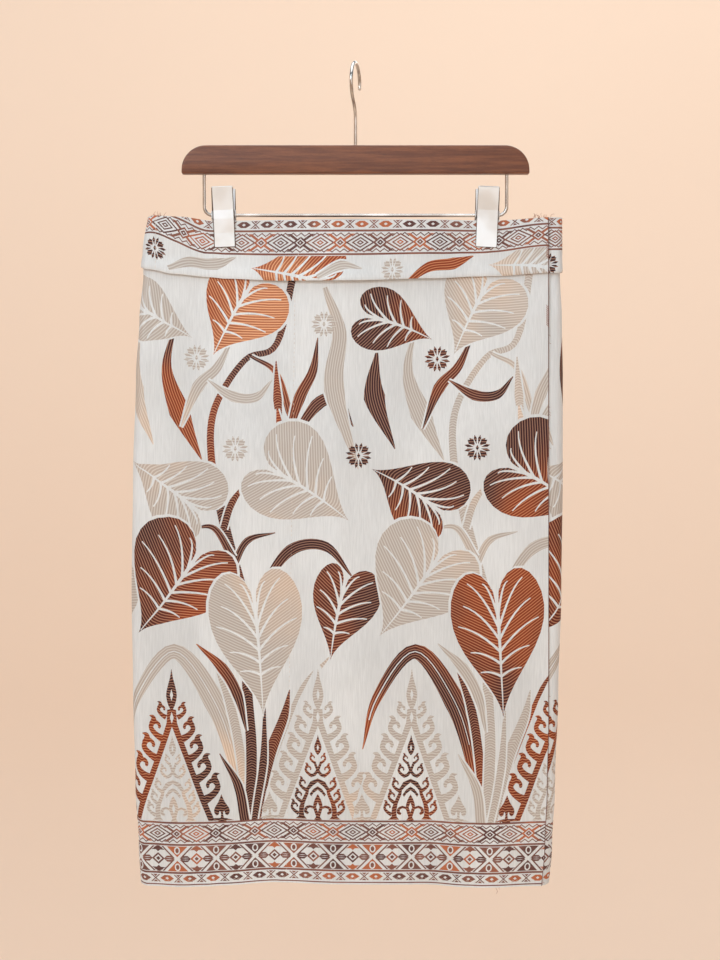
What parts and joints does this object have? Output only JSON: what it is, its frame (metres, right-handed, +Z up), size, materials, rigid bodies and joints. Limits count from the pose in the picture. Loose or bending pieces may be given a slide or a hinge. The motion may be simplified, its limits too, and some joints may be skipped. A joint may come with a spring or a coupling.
{
  "type": "instant samping on a clip hanger",
  "caption": "Ready-wrapped brocade waist cloth, a flattened tube with a lapped front and a waist tuck, gripped at the waist by a wooden clip hanger.",
  "frame": {"origin": "underside of the hook's crown, where the rail that carries the hanger bears", "axes": "+X to the right of the cloth's front, +Y to its back, +Z up"},
  "size_m": [0.4419, 0.0513, 0.8444],
  "materials": {
    "brocade": "satin ground with copper and silver supplementary weft",
    "walnut": "walnut stain, satin lacquer",
    "bright_wire": "polished wire",
    "clip_metal": "bright plated sheet"
  },
  "bodies": {
    "root": {"front_panel": "brocade", "back_panel": "brocade", "under_wrap": "brocade", "left_side": "brocade", "right_side": "brocade", "waist_tuck_front": "brocade", "waist_tuck_back": "brocade", "waist_tuck_under": "brocade", "hanger_bar": "walnut", "hanger_hook": "bright_wire", "clip_rail": "bright_wire", "left_clip_front_jaw": "clip_metal", "left_clip_back_jaw": "clip_metal", "left_clip_spring": "clip_metal", "right_clip_front_jaw": "clip_metal", "right_clip_back_jaw": "clip_metal", "right_clip_spring": "clip_metal"}
  },
  "joints": []
}
